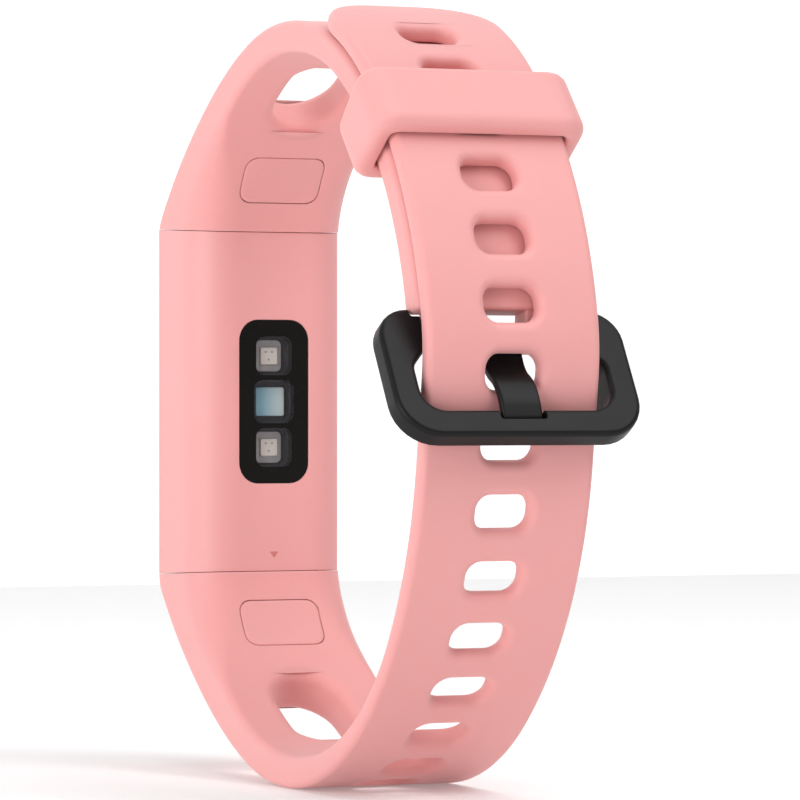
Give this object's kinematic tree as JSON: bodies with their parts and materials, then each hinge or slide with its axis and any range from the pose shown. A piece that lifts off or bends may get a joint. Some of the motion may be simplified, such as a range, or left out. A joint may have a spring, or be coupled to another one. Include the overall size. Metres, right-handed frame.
{
  "type": "fitness tracker band",
  "caption": "Slim wrist tracker in a closed silicone band, with a skin-side sensor window, adjustment holes, buckle, tongue and keeper.",
  "frame": {"origin": "centre of the sensor window's outer face, the face that meets the wrist", "axes": "+X out of the sensor window towards the wrist and the clasp, +Y across the band, +Z along the core towards the buckle strap"},
  "size_m": [0.0773, 0.027, 0.0827],
  "materials": {
    "silicone_pink": "matte",
    "housing_pink": "satin",
    "glass_black": "polished",
    "lens_clear": "polished",
    "buckle_black": "satin",
    "plastic_dark": "matte",
    "circuit_board": "matte",
    "chip_black": "matte",
    "steel": "satin",
    "gold_contact": "polished",
    "flex_amber": "gloss",
    "battery_foil": "satin",
    "lamp_ceramic": "satin",
    "photodiode_blue": "gloss",
    "seal_black": "matte",
    "display_dark": "gloss"
  },
  "bodies": {
    "band": {"rear_housing": "housing_pink", "front_bezel": "housing_pink", "cover_glass": "glass_black", "touch_film": "display_dark", "display_panel": "display_dark", "display_seal": "seal_black", "display_flex": "flex_amber", "inner_frame": "plastic_dark", "battery": "battery_foil", "battery_pad": "plastic_dark", "main_board": "circuit_board", "processor_shield": "steel", "radio_chip": "chip_black", "motion_sensor": "chip_black", "vibration_motor": "steel", "antenna_strip": "gold_contact", "sensor_board": "circuit_board", "sensor_window": "glass_black", "light_baffle": "plastic_dark", "well_lenses": "lens_clear", "lamp_upper": "lamp_ceramic", "lamp_lower": "lamp_ceramic", "photodiode": "photodiode_blue", "usb_tongue": "plastic_dark", "usb_contacts": "gold_contact", "upper_tab": "housing_pink", "plug_seal": "seal_black", "tab_seal": "seal_black", "upper_strap": "silicone_pink", "lower_strap": "silicone_pink", "upper_socket": "plastic_dark", "lower_socket": "plastic_dark", "upper_inset": "silicone_pink", "lower_inset": "silicone_pink", "spring_bar_tube": "steel", "spring_bar_coil": "steel"},
    "buckle_frame": {"buckle_frame": "buckle_black"},
    "buckle_tongue": {"buckle_tongue": "buckle_black"},
    "keeper": {"keeper_loop": "silicone_pink"},
    "bar_tip_left": {"spring_bar_tip_left": "steel"},
    "bar_tip_right": {"spring_bar_tip_right": "steel"}
  },
  "joints": [
    {"name": "buckle_hinge", "type": "hinge", "parent": "band", "child": "buckle_frame", "pos_m": [0.0575, 0, 0.0064], "axis": [0, -1, 0], "range_deg": [0, 5]},
    {"name": "tongue_hinge", "type": "hinge", "parent": "buckle_frame", "child": "buckle_tongue", "pos_m": [0.0575, 0, 0.0064], "axis": [0, -1, 0], "range_deg": [0, 3]},
    {"name": "keeper_slide", "type": "hinge", "parent": "band", "child": "keeper", "pos_m": [0.01806, 0, 0.00054], "axis": [0, -1, 0], "range_deg": [-22, 4]},
    {"name": "bar_tip_left_slide", "type": "slide", "parent": "band", "child": "bar_tip_left", "axis": [0, 1, 0], "range_m": [0, 0.0007], "stiffness_N_per_m": 300},
    {"name": "bar_tip_right_slide", "type": "slide", "parent": "band", "child": "bar_tip_right", "axis": [0, -1, 0], "range_m": [0, 0.0007], "stiffness_N_per_m": 300}
  ]
}
